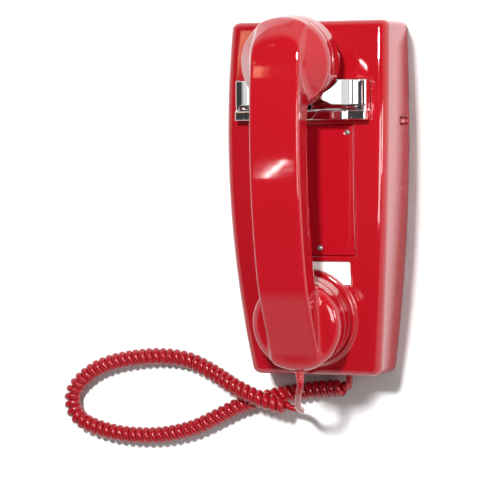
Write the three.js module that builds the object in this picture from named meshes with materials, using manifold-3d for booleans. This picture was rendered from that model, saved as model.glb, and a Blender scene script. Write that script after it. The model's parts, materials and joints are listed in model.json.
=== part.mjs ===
// Slimline wall phone with a hung handset and a curly cord. Millimetres.
// The wall face of the back plate is z = 0, +Y points up the wall and +Z out of the front.
import * as THREE from 'three';
import { mergeVertices } from 'three/addons/utils/BufferGeometryUtils.js';
import Module from 'manifold-3d';

const wasm = await Module();
wasm.setup();

// Driving dimensions.
const gap = 0.3;
const casing = {
  halfHeight: 108, halfWidth: 51.5, widestY: 50, taper: 10.5, draft: 1,
  depth: 45, deepestY: 20, bow: 15, wall: 2.5, edge: 6, endEdge: 4,
};
const plate = { thickness: 1.5, inset: 3.8, stud: 101.6, studY: 20, keyhole: 5, slot: 2.4 };
const blank = { halfWidth: 31, bottomY: -34, topY: 45, sunk: 1.2, thickness: 2, padDepth: 6 };
const cardSize = { halfWidth: 27, topY: -38, bottomY: -52, cardThickness: 0.4, windowThickness: 1 };
const saddle = {
  halfWidth: 41.5, bottomY: 48, topY: 72, backZ: 40, faceZ: 46.5,
  shelfTopY: 53.8, shelfZ: 60, cheekY: 57, cheekInner: 21, cheekZ: 76, flangeZ: 52,
};
const handset = {
  middleY: 5.65, middleZ: 49.5, cupSpacing: 157, tilt: Math.atan(17 / 157),
  collarRadius: 28, capHeight: 12.5, collarTop: 22, neckRadius: 24.9, boreRadius: 22,
  gripWidth: 31, gripDepth: 17, bowHeight: 47.8, bow: 9, halfLength: 105.5, endRound: 14,
  creaseY: -55, facetEndZ: 25.2, reliefZ: 19,
};
const padRadius = 29.8;
const socket = { halfWidth: 8.5, halfHeight: 8, faceZ: 0.3, backZ: 16, flange: 2 };
const jack = { x: 16, z: 12, width: 7.7, height: 6.6 };
const cord = { coil: 10.3, wire: 4 };
const wheel = { x: 45.3, y: 47, z: 10, radius: 7.5, thickness: 3 };
const hook = { pivotY: 94, pivotZ: 30, tipY: 62, tipZ: 54.6 };

const part = new THREE.Group();
const handsetGroup = new THREE.Group();
handsetGroup.position.set(0, handset.middleY, handset.middleZ);
handsetGroup.rotation.x = handset.tilt;
handsetGroup.updateMatrix();
part.add(handsetGroup);

const finishes = {
  red: { color: 0xc70e1e, roughness: 0.15, metalness: 0 },
  chrome: { color: 0xdcdcdc, roughness: 0.08, metalness: 1 },
  steel: { color: 0x9a9a98, roughness: 0.4, metalness: 1 },
  brass: { color: 0xb8963f, roughness: 0.3, metalness: 1 },
  card: { color: 0xf6f5f0, roughness: 0.8, metalness: 0 },
  clear: { color: 0xe8eef0, roughness: 0.05, metalness: 0, transparent: true, opacity: 0.35 },
  board: { color: 0x7a5a2c, roughness: 0.7, metalness: 0 },
  black: { color: 0x1b1b1c, roughness: 0.5, metalness: 0 },
  ivory: { color: 0xd9d2bd, roughness: 0.45, metalness: 0 },
};

// A named mesh of one finish. Every mesh has a material of its own.
function addMesh(name, finish, geometry, group = part) {
  const mesh = new THREE.Mesh(geometry, new THREE.MeshStandardMaterial(finishes[finish]));
  mesh.name = name;
  group.add(mesh);
  return mesh;
}

// Closed geometry to solid, and back.
function solid(geometry) {
  const bare = geometry.clone();
  bare.deleteAttribute('normal');
  bare.deleteAttribute('uv');
  const merged = mergeVertices(bare);
  return new wasm.Manifold(new wasm.Mesh({
    numProp: 3,
    vertProperties: new Float32Array(merged.attributes.position.array),
    triVerts: new Uint32Array(merged.index.array),
  }));
}

function geometryOf(made) {
  const mesh = made.getMesh();
  const geometry = new THREE.BufferGeometry();
  geometry.setAttribute('position', new THREE.BufferAttribute(mesh.vertProperties, 3));
  geometry.setIndex(new THREE.BufferAttribute(mesh.triVerts, 1));
  geometry.computeVertexNormals();
  return geometry;
}

const join = (...geometries) => geometryOf(
  geometries.map(solid).reduce((all, one) => all.add(one)),
);
const cut = (geometry, ...tools) => geometryOf(
  tools.map(solid).reduce((rest, tool) => rest.subtract(tool), solid(geometry)),
);
const common = (first, second) => geometryOf(solid(first).intersect(solid(second)));

// Boxes by their limits, and cylinders along each axis.
function box(x0, x1, y0, y1, z0, z1) {
  return new THREE.BoxGeometry(x1 - x0, y1 - y0, z1 - z0)
    .translate((x0 + x1) / 2, (y0 + y1) / 2, (z0 + z1) / 2);
}

function rodZ(radius, x, y, z0, z1, sides = 24) {
  return new THREE.CylinderGeometry(radius, radius, z1 - z0, sides)
    .rotateX(Math.PI / 2).translate(x, y, (z0 + z1) / 2);
}

function rodX(radius, x0, x1, y, z, sides = 20) {
  return new THREE.CylinderGeometry(radius, radius, x1 - x0, sides)
    .rotateZ(Math.PI / 2).translate((x0 + x1) / 2, y, z);
}

function rodY(radius, x, y0, y1, z, sides = 20) {
  return new THREE.CylinderGeometry(radius, radius, y1 - y0, sides)
    .translate(x, (y0 + y1) / 2, z);
}

// A profile of [radius, height] pairs turned about the Z axis.
function turned(profile, sides = 40) {
  const points = profile.map(([radius, height]) => new THREE.Vector2(radius, height));
  return new THREE.LatheGeometry(points, sides).rotateX(Math.PI / 2);
}

// A plane outline of [u, v] pairs extruded along X (u is Y, v is Z), Y (u is X, v is Z) or Z.
function outlineOf(points) {
  return new THREE.Shape(points.map(([u, v]) => new THREE.Vector2(u, v)));
}

function prismX(shape, x0, x1) {
  const geometry = new THREE.ExtrudeGeometry(shape, { depth: x1 - x0, bevelEnabled: false });
  const turn = new THREE.Matrix4().makeBasis(
    new THREE.Vector3(0, 1, 0), new THREE.Vector3(0, 0, 1), new THREE.Vector3(1, 0, 0),
  );
  return geometry.applyMatrix4(turn).translate(x0, 0, 0);
}

function prismY(shape, y0, y1) {
  return new THREE.ExtrudeGeometry(shape, { depth: y1 - y0, bevelEnabled: false })
    .rotateX(Math.PI / 2).translate(0, y1, 0);
}

function prismZ(shape, z0, z1) {
  return new THREE.ExtrudeGeometry(shape, { depth: z1 - z0, bevelEnabled: false })
    .translate(0, 0, z0);
}

const range = (count) => Array.from({ length: count }, (unused, i) => i);

// The casing's half width and depth at height y: two parabolas.
const halfWidthAt = (y) => casing.halfWidth - casing.taper * ((y - casing.widestY) / 158) ** 2;
const depthAt = (y) => casing.depth - casing.bow * ((y - casing.deepestY) / 128) ** 2;

// One section across the casing: up one side, over a round edge, across the front and down.
function sectionAt(y, inset, radius, backZ) {
  const w = halfWidthAt(y) - inset;
  const d = depthAt(y) - inset;
  const steps = 5;
  const left = [[-w - casing.draft, backZ]];
  range(steps + 1).forEach((i) => {
    const angle = (i / steps) * Math.PI / 2;
    left.push([-w + radius * (1 - Math.cos(angle)), d - radius * (1 - Math.sin(angle))]);
  });
  const right = left.map(([x, z]) => [-x, z]).reverse();
  return [...left, ...right].map(([x, z]) => new THREE.Vector3(x, y, z));
}

// Sections joined into one closed skin, with flat ends.
function loft(rings) {
  const count = rings[0].length;
  const at = (ring, j) => ring * count + (j % count);
  const index = [];
  range(rings.length - 1).forEach((i) => range(count).forEach((j) => {
    index.push(at(i, j), at(i, j + 1), at(i + 1, j));
    index.push(at(i, j + 1), at(i + 1, j + 1), at(i + 1, j));
  }));
  const last = rings.length - 1;
  range(count - 2).forEach((j) => {
    index.push(at(0, 0), at(0, j + 2), at(0, j + 1));
    index.push(at(last, 0), at(last, j + 1), at(last, j + 2));
  });
  const geometry = new THREE.BufferGeometry().setFromPoints(rings.flat());
  geometry.setIndex(index);
  return geometry;
}

function casingSkin(inset, radius, backZ) {
  const end = casing.halfHeight - inset;
  const turn = casing.endEdge;
  const rings = [];
  const roundSteps = 4;
  range(roundSteps).forEach((i) => {
    const angle = (i / roundSteps) * Math.PI / 2;
    rings.push([-end + turn * (1 - Math.cos(angle)), turn * (1 - Math.sin(angle))]);
  });
  const levels = 9;
  range(levels).forEach((i) => rings.push([(end - turn) * (2 * i / (levels - 1) - 1), 0]));
  range(roundSteps).reverse().forEach((i) => {
    const angle = (i / roundSteps) * Math.PI / 2;
    rings.push([end - turn * (1 - Math.cos(angle)), turn * (1 - Math.sin(angle))]);
  });
  return loft(rings.map(([y, shrink]) => sectionAt(y, inset + shrink, radius, backZ)));
}

// Front outline of a strip of the casing's face between two heights, set back by sunk.
function faceStrip(y0, y1, sunk, thickness) {
  const steps = 8;
  const heights = range(steps + 1).map((i) => y0 + (y1 - y0) * (i / steps));
  const front = heights.map((y) => [y, depthAt(y) - sunk]);
  const back = heights.map((y) => [y, depthAt(y) - sunk - thickness]).reverse();
  return outlineOf([...front, ...back].reverse());
}

// Places geometry made in the handset's own frame into the frame of the phone.
const inPhone = (geometry) => geometry.applyMatrix4(handsetGroup.matrix);
const earY = handset.cupSpacing / 2;
const earPlace = new THREE.Vector3(0, earY, 0).applyMatrix4(handsetGroup.matrix);
const mouthPlace = new THREE.Vector3(0, -earY, 0).applyMatrix4(handsetGroup.matrix);

// The card pocket is tilted to follow the face.
const cardMiddleY = (cardSize.topY + cardSize.bottomY) / 2;
const cardTilt = Math.atan((depthAt(cardMiddleY + 1) - depthAt(cardMiddleY - 1)) / 2);
const cardFrame = new THREE.Matrix4().makeRotationX(cardTilt)
  .setPosition(0, cardMiddleY, depthAt(cardMiddleY));

// A plate of the card's outline, less the round pad, in the card's own frame.
function cardPlate(grow, z0, z1) {
  const half = (cardSize.topY - cardSize.bottomY) / 2 + grow;
  const width = cardSize.halfWidth + grow;
  const slab = box(-width, width, -half, half, z0, z1).applyMatrix4(cardFrame);
  return cut(slab, rodZ(padRadius + 0.5 - grow, mouthPlace.x, mouthPlace.y, 20, 60, 48));
}

const screwPlaces = [[-38, 94], [38, 94], [-34, -96], [34, -96]];
const blankScrews = [[-27, 40.5], [27, 40.5], [-8.5, -29.5], [8.5, -29.5]];

function makeCasing() {
  const pad = inPhone(rodZ(padRadius, 0, -earY, -9, -0.7, 48));
  const outer = join(casingSkin(0, casing.edge, 0), pad);
  const inner = casingSkin(casing.wall, casing.edge - casing.wall, -1);
  const { halfWidth, bottomY, topY, sunk, thickness, padDepth } = blank;
  const plateSeat = common(
    prismX(faceStrip(bottomY - 4, topY + 2.4, 1, padDepth), -halfWidth - 4, halfWidth + 4),
    casingSkin(0.5, casing.edge, 0),
  );
  const cardSeat = box(-cardSize.halfWidth - 2, cardSize.halfWidth + 2, -9, 9, -4.5, -1)
    .applyMatrix4(cardFrame);
  const bosses = screwPlaces.map(([x, y]) => rodZ(4, x, y, plate.thickness + gap, depthAt(y) - 1));
  const body = join(cut(outer, inner), plateSeat, cardSeat, ...bosses);
  const blankPocket = prismX(
    faceStrip(bottomY - gap, topY + gap, -3, sunk + thickness + gap + 3), -halfWidth - gap, halfWidth + gap,
  );
  const saddleHole = box(
    -saddle.halfWidth - gap, saddle.halfWidth + gap, saddle.bottomY - gap, saddle.topY + gap, 30, 70,
  );
  return cut(
    body,
    blankPocket,
    saddleHole,
    cardPlate(gap, -2.2, 5),
    ...blankScrews.map(([x, y]) => rodZ(1.5, x, y, 30, 50, 12)),
    ...screwPlaces.map(([x, y]) => rodZ(1.7, x, y, 0, 14, 12)),
    box(jack.x - 5, jack.x + 5, -110, -103, jack.z - 4.5, jack.z + 4.5),
    box(45, 60, wheel.y - 2, wheel.y + 2, wheel.z - 7.6, wheel.z + 7.6),
  );
}

function makeBackPlate() {
  const heights = range(9).map((i) => (casing.halfHeight - plate.inset) * (i / 4 - 1));
  const right = heights.map((y) => [halfWidthAt(y) - plate.inset, y]);
  const left = right.map(([x, y]) => [-x, y]).reverse();
  const sheet = prismZ(outlineOf([...right, ...left]), 0, plate.thickness);
  const studs = [plate.studY - plate.stud / 2, plate.studY + plate.stud / 2];
  const keyholes = studs.flatMap((y) => [
    rodZ(plate.keyhole, 0, y - 7, -1, 3),
    box(-plate.slot, plate.slot, y - 7, y + 2, -1, 3),
  ]);
  const countersink = turned([[0, -1], [3.6, -1], [3.6, 0.1], [1.9, 1.6], [1.9, 3], [0, 3]], 16);
  return cut(
    sheet,
    ...keyholes,
    ...screwPlaces.map(([x, y]) => countersink.clone().translate(x, y, 0)),
    box(
      -socket.halfWidth - gap, socket.halfWidth + gap,
      plate.studY - socket.halfHeight - gap, plate.studY + socket.halfHeight + gap, -1, 3,
    ),
  );
}

// Chrome saddle: base, shelf under the receiver end and a swept cheek at each side.
function makeCradle() {
  const s = saddle;
  const base = box(-s.halfWidth, s.halfWidth, s.bottomY, s.topY, s.backZ, s.faceZ);
  const rim = box(-s.halfWidth, s.halfWidth, s.bottomY, s.shelfTopY, s.faceZ - 1, s.faceZ + 4);
  const shelf = outlineOf([
    [9, s.bottomY], [s.halfWidth, s.bottomY], [s.halfWidth, s.shelfTopY], [14, s.shelfTopY],
  ]);
  const cheek = new THREE.Shape()
    .moveTo(s.cheekInner, s.backZ)
    .lineTo(s.halfWidth, s.backZ)
    .lineTo(s.halfWidth, s.flangeZ)
    .lineTo(s.halfWidth - 2.5, s.flangeZ);
  cheek.quadraticCurveTo(27, s.flangeZ + 2, s.cheekInner + 2, s.cheekZ);
  cheek.lineTo(s.cheekInner, s.cheekZ);
  const cheekFront = outlineOf([
    [s.cheekInner, s.cheekY + 4], [s.cheekInner + 4, s.cheekY],
    [s.halfWidth, s.cheekY], [s.halfWidth, s.topY], [s.cheekInner, s.topY],
  ]);
  const oneSide = join(
    prismZ(shelf, s.backZ, s.shelfZ - 6),
    common(prismZ(shelf, s.backZ, s.shelfZ), box(9, 30, s.bottomY, s.shelfTopY, 50, s.shelfZ)),
    common(prismY(cheek, s.cheekY, s.topY), prismZ(cheekFront, s.backZ, s.cheekZ)),
    box(s.halfWidth - 2.5, s.halfWidth, s.bottomY, s.topY, s.backZ, s.flangeZ),
  );
  return cut(
    join(base, rim, oneSide, mirrorX(oneSide)),
    rodZ(handset.collarRadius + 1.2, 0, earPlace.y - 1.2, s.faceZ, 90, 64),
    box(-5, 5, 54.4, 66, 30, 60),
  );
}

// A copy of a solid on the other side of the plane x = 0, still facing out.
function mirrorX(geometry) {
  const copy = geometry.clone().scale(-1, 1, 1);
  const index = copy.index.array;
  for (let i = 0; i < index.length; i += 3) {
    [index[i + 1], index[i + 2]] = [index[i + 2], index[i + 1]];
  }
  return copy;
}

function addFront() {
  addMesh('casing', 'red', makeCasing());
  addMesh('cradle', 'chrome', makeCradle());
  const { halfWidth, bottomY, topY, sunk, thickness } = blank;
  addMesh('blank_plate', 'red', cut(
    prismX(faceStrip(bottomY, topY, sunk, thickness), -halfWidth, halfWidth),
    ...blankScrews.map(([x, y]) => rodZ(1.5, x, y, 30, 50, 12)),
  ));
  blankScrews.forEach(([x, y], i) => {
    const top = depthAt(y) - sunk + 0.25;
    const screw = turned([
      [0, -7], [1.2, -7], [1.2, 0], [2.3, 0], [2.3, 0.6], [1.4, 1.1], [0, 1.2],
    ], 16).translate(x, y, top);
    addMesh(`blank_plate_screw_${i + 1}`, 'steel', screw);
  });
  addMesh('card', 'card', cardPlate(0, -1.9, -1.9 + cardSize.cardThickness));
  addMesh('card_window', 'clear', cardPlate(0, -1.2, -1.2 + cardSize.windowThickness));
}

function addBack() {
  addMesh('back_plate', 'steel', makeBackPlate());
  screwPlaces.forEach(([x, y], i) => {
    const screw = turned([[0, 0.1], [3.2, 0.1], [1.5, 1.6], [1.4, 12], [0, 13]], 12);
    addMesh(`casing_screw_${i + 1}`, 'steel', screw.translate(x, y, 0));
  });
  const { halfWidth, halfHeight, faceZ, backZ, flange } = socket;
  const y = plate.studY;
  const flangeZ = plate.thickness + gap;
  addMesh('line_jack', 'ivory', cut(
    join(
      box(-halfWidth, halfWidth, y - halfHeight, y + halfHeight, faceZ, backZ),
      box(
        -halfWidth - flange, halfWidth + flange, y - halfHeight - flange, y + halfHeight + flange,
        flangeZ, flangeZ + 1.5,
      ),
    ),
    box(-5.8, 5.8, y - 4.5, y + 4.5, -1, 13),
  ));
  addMesh('handset_jack', 'ivory', cut(
    box(jack.x - 7, jack.x + 7, -105, -91, 5, 20),
    box(
      jack.x - jack.width / 2 - gap, jack.x + jack.width / 2 + gap, -106, -94.5,
      jack.z - jack.height / 2 - gap, jack.z + jack.height / 2 + gap,
    ),
  ));
}

function addHook() {
  const { pivotY, pivotZ, tipY, tipZ } = hook;
  const arm = join(
    box(-3.5, 3.5, tipY - 2, pivotY, pivotZ - 2, pivotZ + 1.6),
    box(-3.5, 3.5, tipY - 2, tipY + 1.5, pivotZ - 2, tipZ),
    rodX(4, -3.5, 3.5, pivotY, pivotZ),
  );
  addMesh('hook_lever', 'chrome', cut(arm, rodX(1.85, -5, 5, pivotY, pivotZ)));
  addMesh('hook_pivot', 'steel', rodX(1.5, -9, 9, pivotY, pivotZ));
  const ear = (x0, x1) => cut(
    box(x0, x1, pivotY - 5, pivotY + 5, plate.thickness + gap, pivotZ + 4),
    rodX(1.8, x0 - 1, x1 + 1, pivotY, pivotZ),
  );
  addMesh('hook_bracket', 'steel', join(
    ear(-8.4, -7), ear(7, 8.4),
    box(-8.4, 8.4, pivotY - 5, pivotY + 5, plate.thickness + gap, 3.4),
  ));
  const coil = turned([[1.9, -1.2], [3.2, -1.2], [3.2, 1.2], [1.9, 1.2], [1.9, -1.2]], 24)
    .rotateY(Math.PI / 2).translate(5.2, pivotY, pivotZ);
  addMesh('hook_spring', 'steel', coil);
  addMesh('contact_stack', 'ivory', join(
    box(-20, -9, 66, 84, plate.thickness + gap, 25),
    ...[16, 19.5, 23].map((z) => box(-10, -4, 68, 80, z, z + 0.8)),
  ));
}

function addNetwork() {
  const y0 = -8;
  const y1 = 44;
  addMesh('network_board', 'board', box(-36, 36, y0, y1, 18.5, 20.1));
  [[-32, y0 + 4], [32, y0 + 4], [-32, y1 - 4], [32, y1 - 4]].forEach(([x, y], i) => {
    addMesh(`board_post_${i + 1}`, 'steel', rodZ(2.5, x, y, plate.thickness + gap, 18.2, 6));
  });
  addMesh('network_block', 'black', box(-28, 8, 6, 34, 20.4, 34));
  addMesh('capacitor_1', 'ivory', rodY(5, 20, 4, 26, 25.7));
  addMesh('capacitor_2', 'ivory', rodX(3.6, 12, 30, 35, 24.2));
}

function addRinger() {
  const base = plate.thickness + gap;
  const gongX = 21.6;
  const gongY = -66;
  const coreZ = 20.5;
  addMesh('ringer_frame', 'steel', join(
    box(-27, 27, gongY - 6, gongY + 6, base, base + 1.6),
    box(-6, 6, gongY - 6, -42.4, base, base + 1.6),
    box(-6, 6, -44, -42.4, base, coreZ + 2),
    rodZ(3, -gongX, gongY, base, 14, 12),
    rodZ(3, gongX, gongY, base, 14, 12),
  ));
  [-1, 1].forEach((side) => {
    const name = side < 0 ? 'left' : 'right';
    const dome = turned([
      [0, 6.9], [6, 6.9], [12.4, 5.2], [15.4, 2], [16, 0], [17, 0], [16.4, 2.4], [13, 6.2],
      [6, 8], [0, 8],
    ], 24);
    const gong = cut(dome, rodZ(1.8, 0, 0, 0, 12, 12)).translate(gongX * side, gongY, 7.6);
    addMesh(`gong_${name}`, 'brass', gong);
    addMesh(`gong_screw_${name}`, 'steel', turned([
      [0, 0], [1.5, 0], [1.5, 2], [3.4, 2], [3.4, 3.2], [2.4, 4], [0, 4],
    ], 16).translate(gongX * side, gongY, 14.3));
  });
  addMesh('ringer_core', 'steel', rodY(2.6, 0, -42.1, -17, coreZ));
  const bobbin = turned([[3, -9], [8.5, -9], [8.5, 9], [3, 9], [3, -9]], 28)
    .rotateX(Math.PI / 2).translate(0, -29, coreZ);
  addMesh('ringer_coil', 'board', bobbin);
  addMesh('clapper_pivot', 'steel', rodZ(1.2, 0, -50, base + 1.9, 20, 12));
  addMesh('clapper', 'steel', cut(
    join(
      box(-1, 1, gongY - 1, -44.8, 16.4, 18),
      rodZ(3, 0, -50, 15.6, 18.8, 20),
      rodZ(0.9, 0, gongY, 10, 17, 8),
      new THREE.SphereGeometry(2.4, 12, 8).translate(0, gongY, 10.5),
    ),
    rodZ(1.5, 0, -50, 10, 24, 16),
  ));
}

function addVolumeWheel() {
  const { x, y, z, radius, thickness } = wheel;
  const ribs = range(24).map((i) => {
    const angle = (i / 24) * 2 * Math.PI;
    return rodY(0.5, x + radius * Math.cos(angle), y - 2, y + 2, z + radius * Math.sin(angle), 4);
  });
  const disc = rodY(radius, x, y - thickness / 2, y + thickness / 2, z, 48);
  addMesh('volume_wheel', 'red', cut(disc, ...ribs, rodY(1.8, x, y - 3, y + 3, z)));
  addMesh('volume_axle', 'steel', rodY(1.5, x, y - 5, y + 5, z));
  const ear = (y0, y1) => cut(
    box(x - 3.6, x + 2.8, y0, y1, plate.thickness + gap, z + 3.6),
    rodY(1.8, x, y0 - 1, y1 + 1, z),
  );
  addMesh('volume_bracket', 'steel', join(
    ear(y - 4.4, y - 3), ear(y + 3, y + 4.4),
    box(x - 12, x - 8.4, y - 4.4, y + 4.4, plate.thickness + gap, 3.2),
    box(x - 12, x - 2.6, y - 4.4, y - 3, plate.thickness + gap, 3.2),
    box(x - 12, x - 2.6, y + 3, y + 4.4, plate.thickness + gap, 3.2),
  ));
}

// Height of the grip's front above the plane of the caps, at distance y from the middle.
const gripFront = (y) => handset.bowHeight - handset.bow * (y / earY) ** 2;

function gripOutline() {
  const { halfLength, endRound, gripDepth, collarTop, creaseY, facetEndZ } = handset;
  const roundY = halfLength - endRound;
  const shape = new THREE.Shape().moveTo(-halfLength, collarTop - 0.8);
  shape.lineTo(-halfLength, collarTop + 2);
  shape.lineTo(2 - halfLength, facetEndZ);
  shape.lineTo(creaseY, gripFront(creaseY));
  range(7).forEach((i) => shape.lineTo(-40 + 20 * i, gripFront(-40 + 20 * i)));
  shape.lineTo(roundY, gripFront(roundY));
  shape.quadraticCurveTo(halfLength - 3, gripFront(roundY) - 3, halfLength, collarTop + 2);
  shape.lineTo(halfLength, collarTop - 0.8);
  shape.lineTo(59, collarTop - 0.8);
  shape.quadraticCurveTo(52, gripFront(40) - gripDepth - 1, 40, gripFront(40) - gripDepth);
  range(3).forEach((i) => shape.lineTo(20 - 20 * i, gripFront(20 - 20 * i) - gripDepth));
  shape.lineTo(-40, gripFront(40) - gripDepth);
  shape.quadraticCurveTo(-52, gripFront(40) - gripDepth - 1, -59, collarTop - 0.8);
  return shape;
}

function addHandset() {
  const { collarRadius, capHeight, collarTop, neckRadius, boreRadius, halfLength } = handset;
  const cup = (y, crown) => turned([
    [0, 5], [neckRadius, 5], [neckRadius, capHeight + gap], [collarRadius, capHeight + gap],
    [collarRadius, collarTop], ...crown,
  ], 48).translate(0, y, 0);
  const earCup = cup(earY, [[24, 27], [16, 36], [0, 36]]);
  const mouthCup = cup(-earY, [[25.5, 25.5], [0, 25.5]]);
  const cupRoom = (y) => join(rodZ(boreRadius, 0, y, 4, 20, 36), rodZ(13, 0, y, 18, 28, 24));
  const channelTop = [[-68, 33], ...range(8).map((i) => [-49 + 19 * i, gripFront(-49 + 19 * i) - 4])];
  const channelBottom = channelTop.map(([y, z]) => [y, z - 9]).reverse();
  const channel = prismX(outlineOf([...channelTop, ...channelBottom].reverse()), -11, 11);
  const footprint = join(
    rodZ(collarRadius, 0, earY, 0, 60, 48), rodZ(collarRadius, 0, -earY, 0, 60, 48),
    box(-20, 20, -earY, earY, 0, 60),
  );
  const grip = prismX(gripOutline(), -handset.gripWidth / 2, handset.gripWidth / 2);
  addMesh('handset_shell', 'red', cut(
    join(common(grip, footprint), earCup, mouthCup),
    cupRoom(earY), cupRoom(-earY), channel, rodY(3.5, 0, -halfLength - 3, -86, handset.reliefZ),
  ), handsetGroup);

  const cap = (y) => turned([
    [0, 0], [collarRadius - 2.5, 0], [collarRadius - 0.7, 0.8], [collarRadius, 2.6],
    [collarRadius, capHeight], [neckRadius + gap, capHeight], [neckRadius + gap, 2.2], [0, 2.2],
  ], 48).translate(0, y, 0);
  const ringOfHoles = (y, count, radius) => range(count).map((i) => {
    const angle = (i / count) * 2 * Math.PI;
    return rodZ(1.1, radius * Math.cos(angle), y + radius * Math.sin(angle), -1, 4, 8);
  });
  addMesh('receiver_cap', 'red', cut(
    cap(earY), rodZ(1.1, 0, earY, -1, 4, 8), ...ringOfHoles(earY, 6, 6),
  ), handsetGroup);
  addMesh('transmitter_cap', 'red', cut(
    cap(-earY), rodZ(1.1, 0, -earY, -1, 4, 8),
    ...ringOfHoles(-earY, 6, 5), ...ringOfHoles(-earY, 12, 10),
  ), handsetGroup);
  const capsule = (y, height) => turned([
    [0, 2.6], [20, 2.6], [20, 6.5], [16, height], [0, height],
  ], 24).translate(0, y, 0);
  addMesh('receiver_capsule', 'steel', capsule(earY, 15), handsetGroup);
  addMesh('transmitter_capsule', 'steel', capsule(-earY, 11), handsetGroup);
  addMesh('contact_cup', 'black', turned([[0, 11.3], [14, 11.3], [14, 17], [0, 17]], 24)
    .translate(0, -earY, 0), handsetGroup);
  const relief = turned([[0, 0], [2.4, 0], [3.2, 8], [3.2, 20], [0, 20]], 20)
    .rotateX(-Math.PI / 2).translate(0, -halfLength - 8.5, handset.reliefZ);
  addMesh('handset_strain_relief', 'red', relief, handsetGroup);
}

// A round tube along route points, with sides faces round it and one step per stretch.
function tubeAlong(points, diameter, sides, steps) {
  const line = new THREE.CatmullRomCurve3(points.map((p) => new THREE.Vector3(...p)), false, 'centripetal');
  const section = new THREE.Shape(range(sides).map((i) => {
    const angle = (i / sides) * 2 * Math.PI;
    return new THREE.Vector2(diameter / 2 * Math.cos(angle), diameter / 2 * Math.sin(angle));
  }));
  return new THREE.ExtrudeGeometry(section, { steps, extrudePath: line, bevelEnabled: false });
}

// The cord's route: out of the bottom of the casing, a loop laid to the left, over itself
// and up to the handset.
const baseLeadRoute = [
  [16, -107.4, 12], [16, -110, 12], [15.6, -114, 10.6], [13.8, -117, 7.8], [11.4, -117.9, 6.2],
  [9.3, -118, 5.9],
];
const coilRoute = [
  [8.7, -118.1, 5.8], [0, -118.6, 5.6], [-19, -121, 5.6], [-46, -127, 5.6], [-61, -132, 5.6],
  [-71, -137, 5.6], [-93, -147, 5.6], [-121, -152, 5.6], [-154, -149, 5.6], [-172, -140, 5.6],
  [-174, -126, 5.6], [-157, -110, 5.6], [-121, -101.5, 5.6], [-94, -103, 5.6], [-75, -110.5, 8.5],
  [-59, -118, 14.2], [-43, -124.4, 16.6], [-31, -128.3, 15.6], [-22, -130.5, 13],
];
const handsetLeadRoute = [
  [-21.3, -130.7, 12.8], [-17.6, -131.6, 12.4], [-13.6, -131.4, 17], [-11, -129, 29],
  [-6.6, -122.5, 43], [-2, -115.8, 53.2], [0, -112, 55.9], [0, -110, 56.15],
];

function addCord() {
  addMesh('cord_plug', 'clear', box(
    jack.x - jack.width / 2, jack.x + jack.width / 2, -107, -95,
    jack.z - jack.height / 2, jack.z + jack.height / 2,
  ));
  addMesh('cord_base_lead', 'red', tubeAlong(baseLeadRoute, cord.wire, 8, 8));
  addMesh('cord_coil', 'red', tubeAlong(coilRoute, cord.coil, 10, 44));
  addMesh('cord_handset_lead', 'red', tubeAlong(handsetLeadRoute, cord.wire, 8, 14));
}

addFront();
addBack();
addHook();
addNetwork();
addRinger();
addVolumeWheel();
addHandset();
addCord();

export default part;
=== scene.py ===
# Slimline wall phone: red casing, chrome saddle, hung handset and a curly cord.
# Shapes are worked out in millimetres and become metres when a mesh is made.
import bpy
import json
import math
import numpy as np
from mathutils import Matrix, Vector


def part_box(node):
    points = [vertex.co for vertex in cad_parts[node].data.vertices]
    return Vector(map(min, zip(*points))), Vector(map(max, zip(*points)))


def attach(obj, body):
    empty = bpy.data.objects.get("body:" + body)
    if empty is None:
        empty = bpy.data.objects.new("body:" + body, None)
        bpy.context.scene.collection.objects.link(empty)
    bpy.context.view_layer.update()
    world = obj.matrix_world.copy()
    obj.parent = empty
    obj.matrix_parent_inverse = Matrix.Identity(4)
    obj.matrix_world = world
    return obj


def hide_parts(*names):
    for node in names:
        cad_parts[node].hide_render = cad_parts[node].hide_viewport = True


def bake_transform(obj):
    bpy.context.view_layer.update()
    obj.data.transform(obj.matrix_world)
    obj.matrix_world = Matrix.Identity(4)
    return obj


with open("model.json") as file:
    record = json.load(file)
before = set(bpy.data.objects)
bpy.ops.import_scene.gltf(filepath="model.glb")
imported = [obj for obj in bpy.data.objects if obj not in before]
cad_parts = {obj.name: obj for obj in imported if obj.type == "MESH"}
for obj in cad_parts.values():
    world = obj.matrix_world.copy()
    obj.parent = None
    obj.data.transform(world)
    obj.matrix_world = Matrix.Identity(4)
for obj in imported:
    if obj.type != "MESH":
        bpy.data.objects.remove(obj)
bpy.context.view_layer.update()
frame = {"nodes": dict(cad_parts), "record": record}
scene = bpy.context.scene
print("frame loaded:", len(frame["nodes"]), "parts")

# camera

camera = {
    "target": (-0.04237, -0.02483, 0.045), "distance": 1.6, "lens": 196.3,
    "turn": 21.21, "rise": 2.645, "roll": -0.567,  # degrees off the phone's front
}


def addCamera():
    turn, rise, roll = (math.radians(camera[k]) for k in ("turn", "rise", "roll"))
    back = Vector((
        math.sin(turn) * math.cos(rise), math.sin(rise), math.cos(turn) * math.cos(rise),
    ))
    right = Vector((math.cos(turn), 0, -math.sin(turn)))
    up = back.cross(right)
    rolledRight = right * math.cos(roll) + up * math.sin(roll)
    rolledUp = up * math.cos(roll) - right * math.sin(roll)
    lens = bpy.data.cameras.new("camera")
    lens.lens = camera["lens"]
    lens.sensor_width = 36
    lens.clip_end = 20
    eye = bpy.data.objects.new("camera", lens)
    scene.collection.objects.link(eye)
    eye.matrix_world = Matrix.Translation(Vector(camera["target"]) + back * camera["distance"]) @ \
        Matrix((rolledRight, rolledUp, back)).transposed().to_4x4()
    scene.camera = eye


addCamera()
print("camera placed")

# node groups and finishes


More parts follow.
